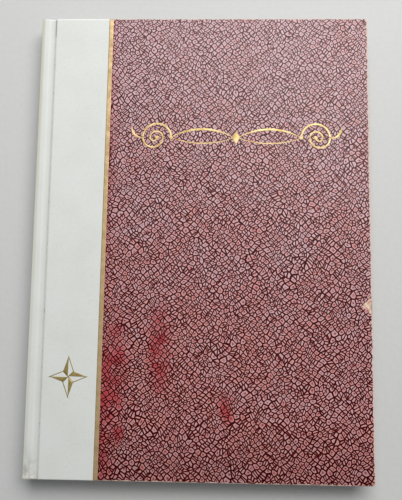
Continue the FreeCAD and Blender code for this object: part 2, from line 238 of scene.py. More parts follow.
# %% Crackle pattern
CELL_MM = 3.1
CELL_RANDOMNESS = 0.6
CELL_TURN = math.radians(45)
BENDS_MM = ((20.0, 7.0), (6.0, 1.6))
SPLIT_SHARE = 0.5
SPLIT_LEAN = 0.5
SPLIT_THINNER_MM = 0.03


def crackle(add, flat):
    """Distances in mm from the nearest line and from the cell's seed, and random numbers for each cell."""
    bent = flat
    for size, reach in BENDS_MM:
        noise = add("TexNoise", {"Vector": flat, "Scale": 1 / size, "Detail": 1.0}, out="Color")
        bent = add("VectorMath", {0: noise, 1: (reach, reach, 0), 2: bent}, operation="MULTIPLY_ADD")
    scale = (1 / CELL_MM, 1 / CELL_MM, 1.0)
    turned = add("Mapping", {"Vector": bent, "Rotation": (0, 0, CELL_TURN), "Scale": scale})
    cells = {"Vector": turned, "Scale": 1.0, "Randomness": CELL_RANDOMNESS}
    edge = add("TexVoronoi", cells, voronoi_dimensions="2D", feature="DISTANCE_TO_EDGE")
    seed = add("TexVoronoi", cells, voronoi_dimensions="2D", feature="F1").node
    chances = add("SeparateColor", {0: seed.outputs["Color"]}).node.outputs
    away = add("VectorMath", {0: turned, 1: seed.outputs["Position"]}, operation="SUBTRACT")
    x, y, _ = add("SeparateXYZ", {0: away}).node.outputs
    lean = add("MapRange", {0: chances["Blue"], 3: -SPLIT_LEAN, 4: SPLIT_LEAN})
    one_way = add("Math", {0: y, 1: lean, 2: x}, operation="MULTIPLY_ADD")
    other_way = add("Math", {0: x, 1: lean, 2: y}, operation="MULTIPLY_ADD")
    either = add("Math", {0: chances["Red"], 1: 0.5}, operation="GREATER_THAN")
    split = add("Mix", {0: either, 2: one_way, 3: other_way})
    split = add("Math", {0: split}, operation="ABSOLUTE")
    whole = add("Math", {0: chances["Green"], 1: SPLIT_SHARE}, operation="GREATER_THAN")
    for more in (whole, SPLIT_THINNER_MM / CELL_MM):
        split = add("Math", {0: split, 1: more}, operation="ADD")
    edge = add("Math", {0: edge, 1: split}, operation="MINIMUM")
    edge_mm = add("Math", {0: edge, 1: CELL_MM}, operation="MULTIPLY")
    seed_mm = add("Math", {0: seed.outputs["Distance"], 1: CELL_MM}, operation="MULTIPLY")
    return edge_mm, seed_mm, chances


print("crackle cells are about", CELL_MM, "mm across")

# %% [markdown]
# The distance to the nearest line shades the cell: nearly black in the line, deep red on the steep side,
# pale on the shoulder, red inside, and often a small dark speck in the middle. The pale band on the
# shoulder is a painted highlight, where light catches the raised edge of a cell. Two noises make the lines
# uneven. Towards the head the lines are thinner and the cells are paler: partly rubbed, and partly a
# painted sheen of the window at the head.

# %% Shades of a cell
LINE_WIDER_MM = 0.225
RAGGED_MM = 0.24
UNEVEN_MM = 0.14
HEAD_THINNER_MM = 0.09
LINE_MM = (0.25, 0.35)
SHOULDER_MM = (0.33, 0.6)
INSIDE_MM = (0.66, 1.0)
SPECK_MM = (0.3, 0.75)
RUBBED_BY_CELL = 0.5
SHEEN_BY_HEAD = 0.7


def cell_shades(add, flat, to_head, ragged):
    """Colour of the cells, and a mask that is 0 in the lines and 1 on the cells."""
    edge_mm, seed_mm, chances = crackle(add, flat)
    uneven = add("TexNoise", {"Vector": flat, "Scale": 1 / 5, "Detail": 2.0})
    edge_mm = add("Math", {0: edge_mm, 1: LINE_WIDER_MM}, operation="SUBTRACT")
    for change, reach in ((ragged, RAGGED_MM), (uneven, UNEVEN_MM), (to_head, HEAD_THINNER_MM)):
        edge_mm = add("Math", {0: change, 1: reach, 2: edge_mm}, operation="MULTIPLY_ADD")
    steps = []
    for low, high in (LINE_MM, SHOULDER_MM, INSIDE_MM):
        steps.append(add("MapRange", {0: edge_mm, 1: low, 2: high}, **SMOOTH))
    raised, shoulder, inside = steps
    middle = add("MapRange", {0: seed_mm, 1: SPECK_MM[0], 2: SPECK_MM[1], 3: 1.0, 4: 0.0}, **SMOOTH)
    speck = add("MapRange", {0: chances["Green"], 1: 0.45, 2: 0.65}, **SMOOTH)
    middle = add("Math", {0: middle, 1: speck}, operation="MULTIPLY")

    # Paleness of the cells: partly rubbing that differs at random, by noise and from cell to cell, and
    # partly a painted sheen that grows towards the head, where the window reflects on the varnish.
    rubbed_and_sheen = add("TexNoise", {"Vector": flat, "Scale": 1 / 40, "Detail": 3.0})
    for change, share in ((chances["Blue"], RUBBED_BY_CELL), (to_head, SHEEN_BY_HEAD)):
        rubbed_and_sheen = add("Math", {0: change, 1: share, 2: rubbed_and_sheen}, operation="MULTIPLY_ADD")
    rubbed_and_sheen = add("MapRange", {0: rubbed_and_sheen, 1: 0.5, 2: 1.6}, **SMOOTH)
    # Painted highlight: the pale band on each cell's shoulder, beside its line, stands for light catching
    # the raised edge.
    pale = add("Mix", {0: rubbed_and_sheen, 6: "#d8a19b", 7: "#cfb4b9"}, **COLOUR)
    red = add("Mix", {0: rubbed_and_sheen, 6: "#b26465", 7: "#bd9aa0"}, **COLOUR)
    colour = add("Mix", {0: inside, 6: pale, 7: red}, **COLOUR)
    colour = add("Mix", {0: shoulder, 6: "#8a090c", 7: colour}, **COLOUR)
    colour = add("Mix", {0: middle, 6: colour, 7: "#7c2426"}, **COLOUR)
    return colour, raised


print("cells turn pale", SHOULDER_MM[1], "mm from a line")

# %% [markdown]
# The rims and corners of both covers are worn through to the pale board. On the front, cells near the seam
# and in a few patches have kept their deep red, a painted shade darkens the tail, where the light falls
# off, and a chip of paper is torn off the fore-edge. Each of these is a mask: a slope along the cover, a
# soft-edged ellipse, or the distance from the rim, broken up by noise. For each rim a row says how far it
# is worn in, where it is fully and no longer bare, and how bare it gets.

# %% Marks of wear
TAIL_SHADE_Y = (-HALF_HEIGHT, 45.0 - HALF_HEIGHT)
CHIP_Y = 113.2 - HALF_HEIGHT
CHIP_REACH = 8.5
CHIP_HALF = 6.0
DEEP_RED_PATCHES = [
    ((-55, -85), (14, 52)),
    ((-62, -110), (13, 80)),
    ((-26, -73), (11, 42)),
    ((18, -109), (7, 14)),
    ((-52, -124), (7, 12)),
    ((-71, 70), (15, 300)),
]
BARE_FORE_EDGE = (2.2, -0.6, 0.0, 0.9)
BARE_ENDS = (1.7, -0.6, -0.1, 0.8)
BARE_CORNERS = (5.0, -0.8, 0.4, 1.0)


def soft_ellipse(add, flat, centre, radii):
    """1 in the middle of an ellipse on the cover, falling smoothly to 0 at its border."""
    scale = (1 / radii[0], 1 / radii[1], 0.0)
    shift = (-centre[0] / radii[0], -centre[1] / radii[1], 0.0)
    local = add("Mapping", {"Vector": flat, "Location": shift, "Scale": scale})
    length = add("VectorMath", {0: local}, out="Value", operation="LENGTH")
    return add("MapRange", {0: length, 1: 0.2, 2: 1.0, 3: 1.0, 4: 0.0}, **SMOOTH)


def deep_red_and_tail_shade(add, flat, y, colour):
    """The colour with deep red left in patches, and painted shade at the tail, where the light falls off."""
    deep = 0.0
    for centre, radii in DEEP_RED_PATCHES:
        patch = soft_ellipse(add, flat, centre, radii)
        deep = add("Math", {0: deep, 1: patch}, operation="MAXIMUM")
    patchy = blotches(add, flat, 9.0, 2.0, 0.36, 0.62, least=0.42, most=0.88)
    deep = add("Math", {0: deep, 1: patchy}, operation="MULTIPLY")
    colour = add("Mix", {0: deep, 6: colour, 7: "#ac333a"}, **COLOUR)
    # Painted shade: the last 45 mm towards the tail are darkened, where the light falls off.
    tail_darkening = add("MapRange", {0: y, 1: TAIL_SHADE_Y[0], 2: TAIL_SHADE_Y[1], 3: 0.2, 4: 0.0}, **SMOOTH)
    return add("Mix", {0: tail_darkening, 6: colour, 7: "#2c0606"}, **COLOUR)


def worn_through(add, flat, x, y, ragged, chipped):
    """A mask of the bare board at rims and corners, and its colour; chipped adds the torn place."""
    across = add("Math", {0: HALF_WIDTH, 1: x}, operation="SUBTRACT")
    along = add("Math", {0: y}, operation="ABSOLUTE")
    along = add("Math", {0: HALF_HEIGHT, 1: along}, operation="SUBTRACT")
    fore = add("Math", {0: across}, operation="ABSOLUTE")
    end = add("Math", {0: along}, operation="ABSOLUTE")
    corner = add("Math", {0: across, 1: along}, operation="ADD")
    torn = add("TexNoise", {"Vector": flat, "Scale": 1 / 3.0, "Detail": 4.0})
    bare = 0.0
    for rim_mm, limits in ((fore, BARE_FORE_EDGE), (end, BARE_ENDS), (corner, BARE_CORNERS)):
        reach, full, none, most = limits
        rim_mm = add("Math", {0: torn, 1: -reach, 2: rim_mm}, operation="MULTIPLY_ADD")
        rim = add("MapRange", {0: rim_mm, 1: full, 2: none, 3: most, 4: 0.0}, **SMOOTH)
        bare = add("Math", {0: bare, 1: rim}, operation="MAXIMUM")
    fibre = add("Mix", {0: ragged, 6: "#cda898", 7: "#f0dfd2"}, **COLOUR)
    if chipped:
        off_chip = add("Math", {0: y, 1: CHIP_Y}, operation="SUBTRACT")
        off_chip = add("Math", {0: off_chip}, operation="ABSOLUTE")
        off_chip = add("Math", {0: off_chip, 1: 1 / CHIP_HALF}, operation="MULTIPLY")
        chip = add("Math", {0: across, 1: 1 / CHIP_REACH, 2: off_chip}, operation="MULTIPLY_ADD")
        chip = add("Math", {0: torn, 1: 1.2, 2: chip}, operation="MULTIPLY_ADD")
        chip = add("MapRange", {0: chip, 1: 1.42, 2: 1.5, 3: 0.92, 4: 0.0}, **SMOOTH)
        strands = blotches(add, flat, 2.4, 4.0, 0.38, 0.6)
        torn_paper = add("Mix", {0: strands, 6: "#d28d82", 7: "#e6d5b6"}, **COLOUR)
        fibre = add("Mix", {0: chip, 6: fibre, 7: torn_paper}, **COLOUR)
        bare = add("Math", {0: bare, 1: chip}, operation="MAXIMUM")
    return bare, fibre


print(len(DEEP_RED_PATCHES), "deep red patches, and a chip", 2 * CHIP_HALF, "mm long")

# %% [markdown]
# The finish lays these over each other: the cells, the deep red patches and the painted shade at the tail,
# the lines between them, and the bare places. The varnish is satin on the cells, duller in the lines, and
# gone where the board shows.

# %% Paper finish
def grained_paper(name, worn):
    """Embossed, varnished cover paper: satin cells, dull lines; worn adds the marks of the front cover."""
    material, add, shader, _ = start_material(name)
    flat = add("Attribute", out="Vector", attribute_name="sheet")
    x, y, _ = add("SeparateXYZ", {0: flat}).node.outputs
    to_head = add("MapRange", {0: y, 1: -HALF_HEIGHT, 2: HALF_HEIGHT})
    ragged = add("TexNoise", {"Vector": flat, "Scale": 1 / 1.6, "Detail": 3.0})
    colour, raised = cell_shades(add, flat, to_head, ragged)
    if worn:
        colour = deep_red_and_tail_shade(add, flat, y, colour)
    line = add("Mix", {0: to_head, 6: "#2a0404", 7: "#120808"}, **COLOUR)
    colour = add("Mix", {0: raised, 6: line, 7: colour}, **COLOUR)
    bare, fibre = worn_through(add, flat, x, y, ragged, chipped=worn)
    colour = add("Mix", {0: bare, 6: colour, 7: fibre}, **COLOUR)
    gloss = add("MapRange", {0: bare, 3: 0.34, 4: 0.8})
    dull = add("MapRange", {0: to_head, 3: 0.08, 4: 0.25})
    shine = add("Mix", {0: raised, 2: dull, 3: 0.25})
    whole = add("Math", {0: 1.0, 1: bare}, operation="SUBTRACT")
    emboss = add("Math", {0: raised, 1: whole}, operation="MULTIPLY")
    relief = add("Bump", {"Height": emboss, "Distance": 0.05 * MM, "Strength": 0.5})
    looks = {"Base Color": colour, "Roughness": gloss, "Specular IOR Level": shine, "Normal": relief}
    set_inputs(shader, looks)
    return material


front_paper_finish = grained_paper("embossed_cover_paper_worn", worn=True)
back_paper_finish = grained_paper("embossed_cover_paper", worn=False)
print("paper finishes:", front_paper_finish.name, back_paper_finish.name)

# %% [markdown]
# ## Book cloth
# The spine cloth is a filled cotton: nearly white, with a fine even weave pressed almost flat and a dull
# sheen. Handling has left dashes of dirt where the groove meets the board, a yellow stain along the spine's
# edge near the head, and grime at the tail. The groove is greyer, partly with dirt and partly with painted
# shade in the hollow, and a painted highlight runs along the head edge, where the window light catches it.
# These marks lie at known distances from the spine, so they are masks on the flat sheet's own coordinates
# and stay put when the cover opens.

# %% Marks on the cloth
GROOVE_RUN = 8.4
BOARD_RUN = 10.6
SPINE_EDGE_RUN = 0.8
DASH_STRETCH = (0.4, 0.22, 1.0)
HEAD_DASH_Y = (HALF_HEIGHT - 14.0, HALF_HEIGHT - 12.0)
GRIME_Y = (-HALF_HEIGHT, 26.0 - HALF_HEIGHT)
FRAYED_Y = (2.0 - HALF_HEIGHT, 5.0 - HALF_HEIGHT)
HEAD_HIGHLIGHT_Y = (HALF_HEIGHT - 1.0, HALF_HEIGHT - 0.4)
STAIN_Y = (-60.0, HALF_HEIGHT - 10.0)


def beside(add, run, line, full, none, most):
    """A mask along a line at a distance run: most up to one distance from it, 0 from another one on."""
    off = add("Math", {0: run, 1: line}, operation="SUBTRACT")
    off = add("Math", {0: off}, operation="ABSOLUTE")
    return add("MapRange", {0: off, 1: full, 2: none, 3: most, 4: 0.0}, **SMOOTH)


def cloth_marks(add, sheet, run, y):
    """Masks and colours of the marks that use has left, with painted shade in the groove and a painted
    highlight along the head edge, in the order in which they are laid on.
    """
    specks = blotches(add, sheet, 1.8, 3.0, 0.5, 0.8, most=0.28)
    # Greyer groove: partly dirt, partly painted shade in the hollow.
    groove_dirt_and_shade = beside(add, run, GROOVE_RUN, 0.2, 2.6, 0.3)

    stretched = add("Mapping", {"Vector": sheet, "Scale": DASH_STRETCH})
    broken = blotches(add, stretched, 1.0, 5.0, 0.53, 0.68, rough=0.7)
    at_head = add("MapRange", {0: y, 1: HEAD_DASH_Y[0], 2: HEAD_DASH_Y[1]}, **SMOOTH)
    broken = add("Math", {0: broken, 1: at_head}, operation="MAXIMUM")
    dash = beside(add, run, BOARD_RUN, 0.2, 0.8, 0.7)
    dash = add("Math", {0: dash, 1: broken}, operation="MULTIPLY")

    tail_darkening = add("MapRange", {0: y, 1: GRIME_Y[0], 2: GRIME_Y[1], 3: 0.6, 4: 0.0}, **SMOOTH)
    near_spine = add("MapRange", {0: run, 1: 2.0, 2: 15.0, 3: 1.0, 4: 0.0}, **SMOOTH)
    for mask in (near_spine, blotches(add, sheet, 7.0, 4.0, 0.4, 0.66)):
        tail_darkening = add("Math", {0: tail_darkening, 1: mask}, operation="MULTIPLY")

    hem = add("MapRange", {0: y, 1: FRAYED_Y[0], 2: FRAYED_Y[1], 3: 1.0, 4: 0.0})
    on_shoulder = add("MapRange", {0: run, 1: -1.5, 2: 0.5}, **SMOOTH)
    for mask in (near_spine, on_shoulder):
        hem = add("Math", {0: hem, 1: mask}, operation="MULTIPLY")
    threads = blotches(add, sheet, 1.1, 4.0, 0.36, 0.6, rough=0.7)
    frayed = add("Mix", {0: threads, 6: "#b4b09e", 7: "#f1f0ea"}, **COLOUR)

    # Painted highlight: a near-white line along the head edge, where the window light catches the rim.
    rim = add("MapRange", {0: y, 1: HEAD_HIGHLIGHT_Y[0], 2: HEAD_HIGHLIGHT_Y[1], 4: 0.9}, **SMOOTH)
    head = add("MapRange", {0: y, 1: STAIN_Y[0], 2: STAIN_Y[1], 3: 0.25, 4: 0.7}, **SMOOTH)
    stain = beside(add, run, SPINE_EDGE_RUN, 0.6, 2.6, 1.0)
    stain = add("Math", {0: head, 1: stain}, operation="MULTIPLY")
    return (
        (specks, "#bfc0b7"),
        (groove_dirt_and_shade, "#b3b4ac"),
        (dash, "#85877f"),
        (tail_darkening, "#8f8c7c"),
        (hem, frayed),
        (rim, "#f6f7f3"),
        (stain, "#c6c0a4"),
    )


print("dashes of dirt", BOARD_RUN, "mm from the spine's corner")

# %% [markdown]
# A plain weave is high where one thread runs over the other: one sine wave across the threads of the warp
# times one across those of the weft. A wave is as long as two threads are wide, so waves of 0.45 mm draw
# the threads of a fine cotton, 0.22 mm apart. They show only close up.

# %% Cloth finish
THREAD_PAIR_MM = 0.45


def plain_weave(add, across, along, pair_mm):
    """Height of a plain weave, -1 to 1: a sine wave for each pair of threads, times one the other way."""
    sines = []
    for place in (across, along):
        angle = add("Math", {0: place, 1: math.tau / pair_mm}, operation="MULTIPLY")
        sines.append(add("Math", {0: angle}, operation="SINE"))
    return add("Math", {0: sines[0], 1: sines[1]}, operation="MULTIPLY")


def book_cloth():
    """Filled cotton book cloth, off-white, dull, with dirt and painted shade in the groove, a painted
    highlight along the head edge, and stains at the ends.
    """
    material, add, shader, _ = start_material("filled_cotton_book_cloth")
    sheet = add("Attribute", out="Vector", attribute_name="sheet")
    run, y, _ = add("SeparateXYZ", {0: sheet}).node.outputs
    clouds = blotches(add, sheet, 25.0, 5.0, 0.3, 0.75)
    colour = add("Mix", {0: clouds, 6: "#dbddd8", 7: "#d7d9d2"}, **COLOUR)
    for mask, tint in cloth_marks(add, sheet, run, y):
        colour = add("Mix", {0: mask, 6: colour, 7: tint}, **COLOUR)
    weave = plain_weave(add, run, y, THREAD_PAIR_MM)
    relief = add("Bump", {"Height": weave, "Distance": 0.02 * MM, "Strength": 0.5})
    looks = {"Base Color": colour, "Roughness": 0.6, "Specular IOR Level": 0.4, "Normal": relief}
    set_inputs(shader, looks)
    return material


cloth_finish = book_cloth()
print("cloth threads are drawn", THREAD_PAIR_MM / 2, "mm apart")

# %% [markdown]
# ## Foil
# The line, star and flourish are hot-stamped imitation gold: a metal film, far thinner than paper, under
# lacquer. It mirrors the window as a metal does, but softly, because it takes up the grain of what it is
# stamped on, and it has worn a little dull.

# %% Foil finish
def gold_foil(name, dull, bright):
    """Imitation-gold stamping foil: brass-coloured metal, satin, duller where it is worn."""
    material, add, shader, position = start_material(name)
    wear = blotches(add, position, 6.0, 5.0, 0.35, 0.65, rough=0.65)
    colour = add("Mix", {0: wear, 6: dull, 7: bright}, **COLOUR)
    gloss = add("MapRange", {0: wear, 3: 0.62, 4: 0.5})
    grain = add("TexNoise", {"Vector": position, "Scale": 1 / 0.7, "Detail": 2.0})
    relief = add("Bump", {"Height": grain, "Distance": 0.02 * MM, "Strength": 0.4})
    set_inputs(shader, {"Base Color": colour, "Metallic": 0.6, "Roughness": gloss, "Normal": relief})
    return material


line_foil = gold_foil("gold_stamping_foil_line", "#b3966b", "#c9ae84")
star_foil = gold_foil("gold_stamping_foil_star", "#97834a", "#b19e66")
flourish_foil = gold_foil("gold_stamping_foil_flourish", "#c9aa68", "#e2c992")
print("foil finishes:", line_foil.name, star_foil.name, flourish_foil.name)

# %% [markdown]
# ## Board, paper and linen inside
# Inside are grey board, cream endpapers and card, linen guards, kraft lining and waxed thread. Paper is
# fibres laid down in water: it is cloudy at the scale of centimetres and flecked at the scale of fibres.
# Glassine is pressed until it is glossy and half see-through, so it gets a low roughness and an alpha.

# %% Sheet finishes
FIBRE_MM = 0.8


def fibre_sheet(name, base, fleck, cloud_mm, roughness, tooth_mm, alpha=1.0):
    """Paper or board: clouds of a second colour, fine flecks of it, and the tooth of the fibres."""
    material, add, shader, position = start_material(name)
    clouds = blotches(add, position, cloud_mm, 4.0, 0.3, 0.7, most=0.7)
    colour = add("Mix", {0: clouds, 6: base, 7: fleck}, **COLOUR)
    fibres = add("TexNoise", {"Vector": position, "Scale": 1 / FIBRE_MM, "Detail": 3.0})
    flecks = add("MapRange", {0: fibres, 1: 0.6, 2: 0.8, 4: 0.4}, **SMOOTH)
    colour = add("Mix", {0: flecks, 6: colour, 7: fleck}, **COLOUR)
    relief = add("Bump", {"Height": fibres, "Distance": tooth_mm * MM, "Strength": 0.4})
    looks = {"Base Color": colour, "Roughness": roughness, "Alpha": alpha, "Normal": relief}
    set_inputs(shader, looks)
    return material


def woven_linen(name, thread, gap, pair_mm):
    """Plain-woven linen: light where a thread rises, dark where it dips."""
    material, add, shader, position = start_material(name)
    x, y, _ = add("SeparateXYZ", {0: position}).node.outputs
    weave = plain_weave(add, x, y, pair_mm)
    light = add("MapRange", {0: weave, 1: -1.0, 2: 1.0})
    colour = add("Mix", {0: light, 6: gap, 7: thread}, **COLOUR)
    relief = add("Bump", {"Height": light, "Distance": 0.05 * MM, "Strength": 0.6})
    set_inputs(shader, {"Base Color": colour, "Roughness": 0.85, "Normal": relief})
    return material


SHEETS = {
    "case_board": ("grey_board", "#a99f8d", "#8d8474", 12.0, 0.9, 0.05),
    "endpaper": ("cream_endpaper", "#e6dfcb", "#dcd2b8", 60.0, 0.8, 0.02),
    "kraft_lining": ("kraft_lining", "#b38d5f", "#9a754b", 8.0, 0.85, 0.03),
    "leaf_card": ("cream_leaf_card", "#e9e3d2", "#e0d8c2", 70.0, 0.75, 0.02),
    "pocket_glassine": ("pocket_glassine", "#eef0ea", "#e3e7e2", 25.0, 0.25, 0.01, 0.55),
    "interleaf_glassine": ("interleaf_glassine", "#eceee6", "#e0e3da", 40.0, 0.3, 0.01, 0.7),
}
finishes = {slot: fibre_sheet(*recipe) for slot, recipe in SHEETS.items()}
finishes["guard_linen"] = woven_linen("guard_linen", "#ddd8c9", "#b9b3a2", 0.55)
finishes["sewing_linen"] = woven_linen("waxed_sewing_thread", "#e8e2d0", "#c2b99f", 0.4)
slot_of = {part["node"]: part["material_slot"] for part in frame["record"]["subparts"]}
dressed = [node for node in frame["nodes"] if slot_of[node] in finishes]
for node in dressed:
    materials = frame["nodes"][node].data.materials
    materials.clear()
    materials.append(finishes[slot_of[node]])
print(len(dressed), "CAD nodes took a sheet finish")

# %% [markdown]
# ## The cloth skin
# Cloth runs from the gold line over the board, dips into the groove, rises over the rounded shoulder and
# turns down the corner of the spine. That outline is a path of straight runs joined by arcs: each corner
# is a distance from the spine, a depth below the face, and the radius of its arc. At each point of the
# path the cloth is one closed loop: up over the tail, along the face, over the head, and back inside. Over
# a board the loop is as deep as the board; over the groove it is only as deep as the hem. Carrying a loop
# along a path gives one surface the face, the hems and the thickness of the cloth.

# %% Cloth path
PATH_STEP = 0.8
ARC_POINTS = 9
SPINE_CORNER = 1.0
OUTLINE = (
    (0.0, 0.45, 0.5),
    (2.4, 0.0, 3.0),
    (5.2, 0.0, 3.0),
    (8.85, 1.2, 2.2),
    (10.4, 0.0, 2.0),
)


def straight_run(start, end):
    """Points evenly spaced from start to end, without the two ends."""
    count = max(int(np.linalg.norm(end - start) / PATH_STEP), 1)
    return start + (end - start) * (np.arange(1, count) / count)[:, None]


def corner_arc(before, corner, after, radius):
    """The arc of a radius that touches the run into a corner and the run out of it."""
    into = (corner - before) / np.linalg.norm(corner - before)
    out = (after - corner) / np.linalg.norm(after - corner)
    turn = math.atan2(into[0] * out[1] - into[1] * out[0], into @ out)
    start = corner - into * radius * math.tan(abs(turn) / 2)
    centre = start + np.array([-into[1], into[0]]) * math.copysign(radius, turn)
    angle = np.linspace(0, turn, ARC_POINTS)[:, None]
    arm = start - centre
    return centre + arm * np.cos(angle) + np.array([-arm[1], arm[0]]) * np.sin(angle)


def rounded_path(corners, radii):
    """A path along straight runs and the arcs at its corners."""
    corners = [np.array(c, float) for c in corners]
    points = [corners[0][None]]
    for before, corner, after, radius in zip(corners, corners[1:], corners[2:], radii):
        arc = corner_arc(before, corner, after, radius)
        points += [straight_run(points[-1][-1], arc[0]), arc]
    points += [straight_run(points[-1][-1], corners[-1]), corners[-1][None]]
    return np.vstack(points)


corners = [(SPINE_X + across, TOP - down) for across, down, _ in OUTLINE]
corners = [(SPINE_X, TOP - SPINE_CORNER), *corners, (SEAM_X, TOP)]
cloth_path = rounded_path(corners, [radius for _, _, radius in OUTLINE])
cloth_run = length_run(cloth_path)
print("cloth path:", len(cloth_path), "points,", round(cloth_run[-1], 1), "mm")

# %% [markdown]
# The hem is drawn once, for depths counted as a fixed part plus a share of the full depth, so one loop
# fits the thick board and the thin groove. Its inner side is the same hem, one cloth thickness in.

# %% Cloth loop
FACE_ROWS = 64
HEM_ARC_POINTS = 5
FLAT_START = 2.5
HEM_DEPTH = 0.62
BOARD_STEP = 0.3


def hem_loop(rim):
    """From the tail's turn-in over the face to the head's: way along the face (-1 to 1), inset, fixed
    depth, and share of the full depth. Each rim is a quarter circle above and one below."""
    quarter = np.linspace(0, math.pi / 2, HEM_ARC_POINTS)
    zero, one = np.zeros(HEM_ARC_POINTS), np.ones(HEM_ARC_POINTS)
    under = np.array([[TURN_IN, 0, 1], [TURN_IN / 2, 0, 1]])
    below = np.stack([rim * (1 - np.sin(quarter)), rim * (np.cos(quarter) - 1), one], axis=1)
    above = np.stack([rim * (1 - np.cos(quarter)), rim * (1 - np.sin(quarter)), zero], axis=1)
    tail = np.vstack([under, below, above, [[rim * FLAT_START, 0, 0]]])
    face = np.linspace(-1, 1, FACE_ROWS)[1:-1]
    way = np.r_[-np.ones(len(tail)), face, np.ones(len(tail))]
    inset, fixed, share = np.vstack([tail, np.zeros((len(face), 3)), tail[::-1]]).T
    return way, inset, fixed, share


def wrapped(path, depth, lift):
    """The hem loop carried along a path of (x, z) points, lift below the outer surface. The case lies to
    the right of the way of travel, so depths are counted that way."""
    way, inset, fixed, share = hem_loop(rim_at(lift))
    y = way * (HALF_HEIGHT - lift) - np.sign(way) * inset
    down = lift + fixed + share * (np.reshape(depth, (-1, 1)) - 2 * lift)
    heading = headings(path)
    x = path[:, :1] + heading[:, 1:] * down
    z = path[:, 1:] - heading[:, :1] * down
    return np.stack([x, np.broadcast_to(y, x.shape), z], axis=-1)


def wrapped_strip(path, depth, outside, inside):
    """Closed loops of a strip: the hem loop at one depth below the surface, and back at another."""
    outer = wrapped(path, depth, outside)
    inner = wrapped(path, depth, inside)
    return np.concatenate([outer, inner[:, ::-1]], axis=1)


def sheet_places(points, run):
    """Place of each point on the flat cloth: distance run along the path, and y."""
    along = np.broadcast_to(run[:, None], points.shape[:2])
    return np.stack([along, points[..., 1], np.zeros_like(along)], axis=-1)


def turned_over(points):
    """The same points on the other side of the album's middle plane, with each row reversed."""
    return (points * [1, 1, -1] + [0, 0, TOP])[:, ::-1]


on_board = smoothstep(BOARD_X - BOARD_STEP, BOARD_X + BOARD_STEP, cloth_path[:, 0])
cloth_depth = HEM_DEPTH + (COVER_DEPTH - HEM_DEPTH) * on_board
front_points = wrapped_strip(cloth_path, cloth_depth, 0.0, SKIN)
print("cloth loop:", front_points.shape[1], "points")

# %% [markdown]
# At the tail the spine has been knocked and the hem is frayed: the skin is pressed down a little and
# rippled there, in waves that fade within 11 mm. The skin turned over is the back of the case. A joint
# runs through each skin, but the skins are not tied to the spine or the covers: they stay where they are
# laid.

# %% Cloth skins
KNOCK_MM = 11.0
KNOCK_RUN = (6.0, 10.0)
KNOCK_DEPTH = 0.22
RIPPLE_UP = 1.7
RIPPLE_ALONG = 0.9
CROSSING_ALONG = 1.3
CROSSING_START = 0.4


def knocked(points, run):
    """Change of height near the tail of the spine: two crossed sine waves less one, times the depth of the
    knock, fading out away from the tail and from the spine."""
    near_tail = 1 - smoothstep(-HALF_HEIGHT, KNOCK_MM - HALF_HEIGHT, points[..., 1])
    near_spine = (1 - smoothstep(*KNOCK_RUN, run))[:, None]
    ripple = np.sin(points[..., 1] * RIPPLE_UP + run[:, None] * RIPPLE_ALONG)
    wave = ripple * np.sin(run[:, None] * CROSSING_ALONG + CROSSING_START)
    return near_tail * near_spine * (KNOCK_DEPTH * wave - KNOCK_DEPTH)


cloth_faces = tube_faces(front_points)
front_sheet = sheet_places(front_points, cloth_run)
back_points = turned_over(front_points)
front_points[..., 2] += knocked(front_points, cloth_run)
front_cloth = make_piece("front_cloth_skin", front_points, cloth_faces, cloth_finish, front_sheet)
back_cloth = make_piece("back_cloth_skin", back_points, cloth_faces, cloth_finish, front_sheet[:, ::-1])
for piece, cover, level in ((front_cloth, "front_cover", TOP), (back_cloth, "back_cover", 0.0)):
    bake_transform(piece)
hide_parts("front_cloth", "front_joint_cloth")
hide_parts("back_cloth", "back_joint_cloth")
print("cloth skins:", front_cloth.name, back_cloth.name)

# %% [markdown]
# The spine is flat, so its path is one straight run between the two corners. It rides on the spine.

# %% Spine skin
SPINE_ROWS = 24
spine_z = np.linspace(SPINE_CORNER, TOP - SPINE_CORNER, SPINE_ROWS)
spine_path = np.stack([np.full(SPINE_ROWS, SPINE_X), spine_z], axis=1)
spine_points = wrapped_strip(spine_path, SPINE_DEPTH, 0.0, SKIN)
spine_faces = tube_faces(spine_points)
spine_sheet = sheet_places(spine_points, spine_z - spine_z[-1])
spine_cloth = make_piece("spine_cloth_skin", spine_points, spine_faces, cloth_finish, spine_sheet)
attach(spine_cloth, "spine")
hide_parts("spine_cloth")
print("spine skin:", len(spine_cloth.data.vertices), "points")

# %% [markdown]
# ## The paper skin
# Paper covers the rest of each board and is turned in over three edges. Seen from above its rim is a path:
# along the tail, round a corner, up the fore-edge, round a corner, and back along the head. The profile
# runs from a little way in on the inner face, out round the turn-in, over the rim and a little way in on
# the face; each of its points says how far inside the rim it lies and how high. The path is drawn once for
# every inset, and one flat polygon closes what is left of each face, so the corners stay clean. Like the
# cloth, the paper keeps its place on the flat sheet, so the crackle runs over the rim unbroken.

# %% Paper rim
EDGE_POINTS = 60
FORE_POINTS = 180
RIM_ARC_POINTS = 6
FLAT_CORNER = 0.2
FLAT_CORNER_GROWTH = 0.5
FACE_INSETS = (9.0, 6.0, 4.0, 2.5, 1.6, 1.0)
UNDER_INSET = 1.5


